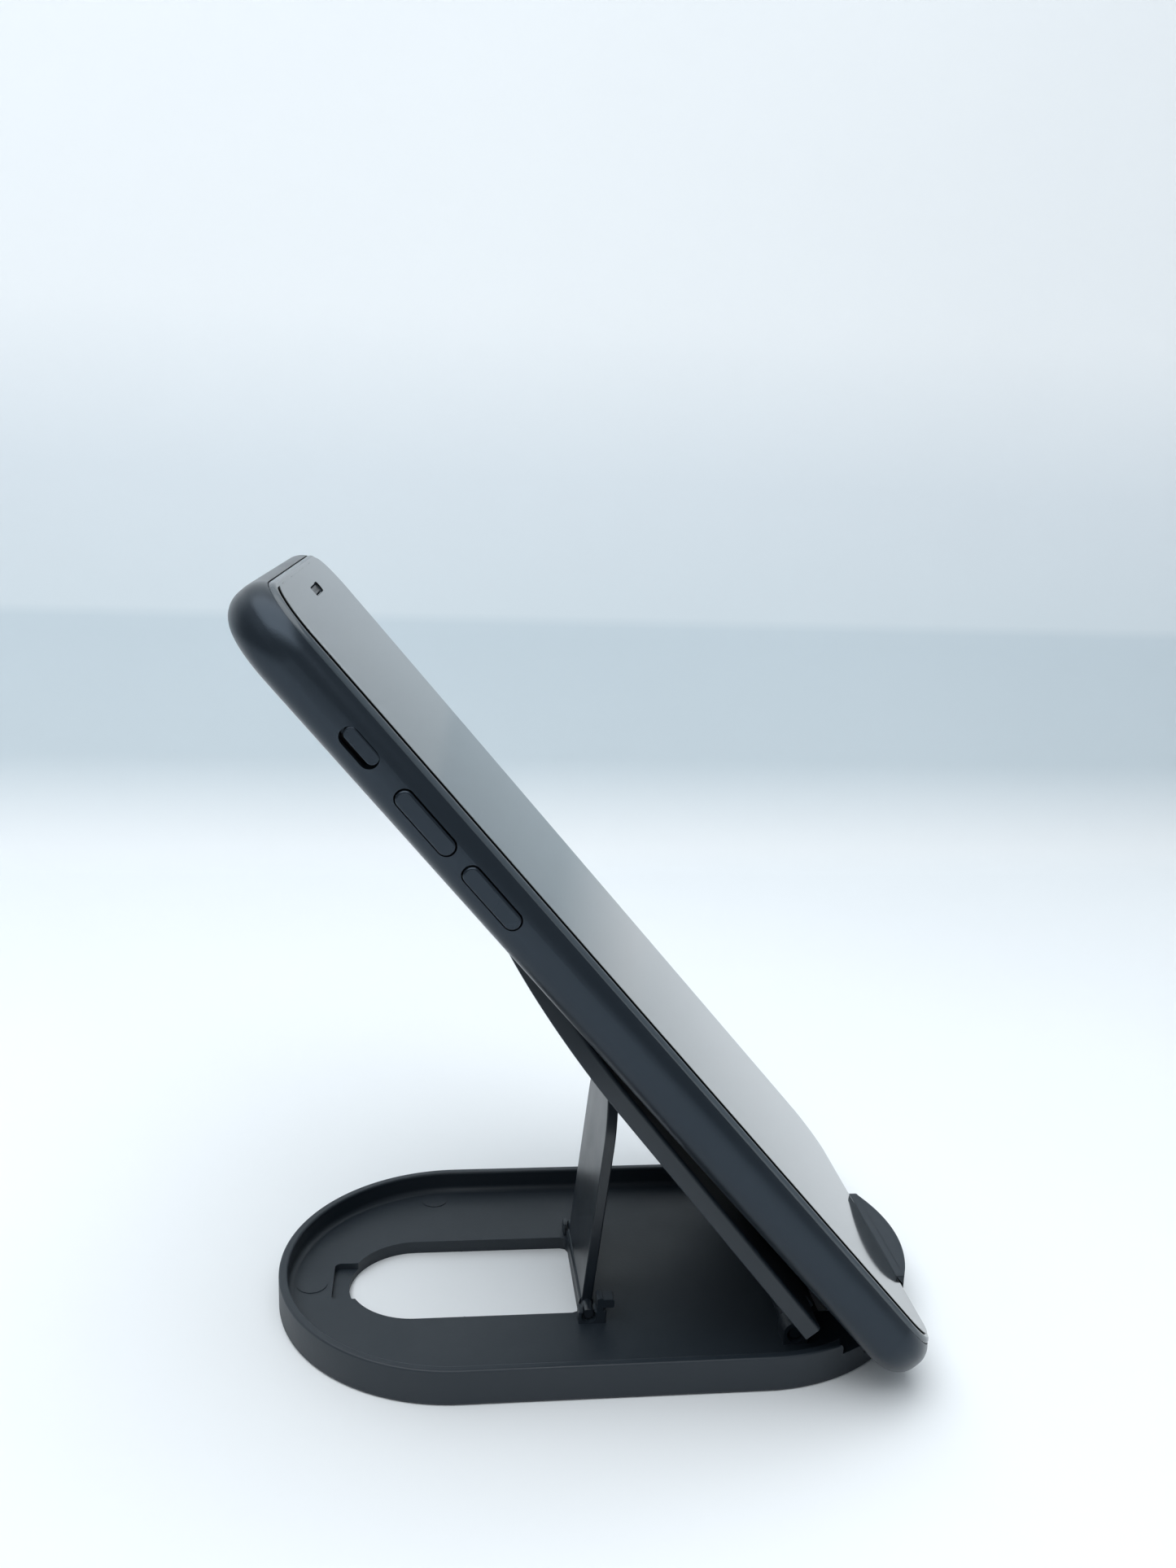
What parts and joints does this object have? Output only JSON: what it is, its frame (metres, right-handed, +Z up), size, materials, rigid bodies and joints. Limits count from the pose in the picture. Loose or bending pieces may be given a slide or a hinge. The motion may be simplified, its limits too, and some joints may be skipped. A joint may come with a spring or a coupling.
{
  "type": "payment phone on folding stand",
  "caption": "Black smartphone for tap payments leaning on a folding pill-shaped desk stand with a hinged back plate, support leg and front lip",
  "frame": {"origin": "middle of the stand's flat underside", "axes": "+Z up, +X along the stand towards the lip and the screen side, +Y across the phone towards its right side as its user sees it"},
  "size_m": [0.0975, 0.0679, 0.1093],
  "materials": {
    "stand_plastic": "fine satin moulded texture",
    "phone_aluminium": "matte black anodised",
    "key_aluminium": "satin black anodised",
    "cover_glass": "polished, black printed behind",
    "clear_film": "clear gloss film",
    "display": "smooth dark panel",
    "steel_sheet": "bright pressed sheet",
    "battery_wrap": "matte film wrap",
    "circuit_board": "solder mask",
    "component_black": "moulded black",
    "fine_mesh": "blackened woven mesh",
    "gold_contact": "plated",
    "flash_lens": "moulded lens",
    "camera_glass": "polished"
  },
  "bodies": {
    "stand_base": {"base_tray": "stand_plastic"},
    "support_leg": {"support_leg": "stand_plastic"},
    "backrest": {"backrest_plate": "stand_plastic"},
    "phone": {"phone_housing": "phone_aluminium", "front_glass": "cover_glass", "screen_protector": "clear_film", "earpiece_mesh": "fine_mesh", "display_panel": "display", "display_back_plate": "steel_sheet", "battery": "battery_wrap", "logic_board": "circuit_board", "processor_shield": "steel_sheet", "radio_shield": "steel_sheet", "rear_camera_module": "component_black", "camera_ring": "key_aluminium", "camera_lens": "camera_glass", "flash_window": "flash_lens", "flash_module": "component_black", "front_camera_module": "component_black", "earpiece_speaker": "component_black", "loudspeaker": "component_black", "vibration_motor": "steel_sheet", "microphone": "gold_contact", "nfc_antenna": "gold_contact", "charging_port": "steel_sheet", "bottom_screw_left": "component_black", "bottom_screw_right": "component_black", "volume_up_dome": "steel_sheet", "volume_down_dome": "steel_sheet", "side_button_dome": "steel_sheet", "ring_switch_body": "component_black"},
    "volume_up_key": {"volume_up_button": "key_aluminium"},
    "volume_down_key": {"volume_down_button": "key_aluminium"},
    "side_key": {"side_button": "key_aluminium"},
    "ring_lever": {"ring_switch": "key_aluminium"},
    "card_tray": {"sim_tray": "key_aluminium", "sim_card": "gold_contact"}
  },
  "joints": [
    {"name": "backrest_hinge", "type": "hinge", "parent": "stand_base", "child": "backrest", "pos_m": [0.0268, 0, 0.0036], "axis": [0, 1, 0], "range_deg": [-51.5, 0]},
    {"name": "leg_hinge", "type": "hinge", "parent": "stand_base", "child": "support_leg", "pos_m": [-0.0024, 0, 0.0032], "axis": [0, 1, 0], "range_deg": [-95.7, 0.1]},
    {"name": "phone_lift", "type": "slide", "parent": "backrest", "child": "phone", "axis": [-0.6534, 0, 0.757], "range_m": [0, 0.06]},
    {"name": "volume_up_press", "type": "slide", "parent": "phone", "child": "volume_up_key", "axis": [0, 1, 0], "range_m": [0, 0.0003], "stiffness_N_per_m": 1000, "springref_m": -0.0004},
    {"name": "volume_down_press", "type": "slide", "parent": "phone", "child": "volume_down_key", "axis": [0, 1, 0], "range_m": [0, 0.0003], "stiffness_N_per_m": 1000, "springref_m": -0.0004},
    {"name": "side_button_press", "type": "slide", "parent": "phone", "child": "side_key", "axis": [0, -1, 0], "range_m": [0, 0.0003], "stiffness_N_per_m": 1000, "springref_m": -0.0004},
    {"name": "ring_switch_slide", "type": "slide", "parent": "phone", "child": "ring_lever", "axis": [-0.757, 0, -0.6534], "range_m": [0, 0.0007]},
    {"name": "sim_tray_slide", "type": "slide", "parent": "phone", "child": "card_tray", "axis": [0, 1, 0], "range_m": [0, 0.018]}
  ],
  "couplings": [
    {"joint": "leg_hinge", "follows": "backrest_hinge", "ratio": 1.8563}
  ]
}
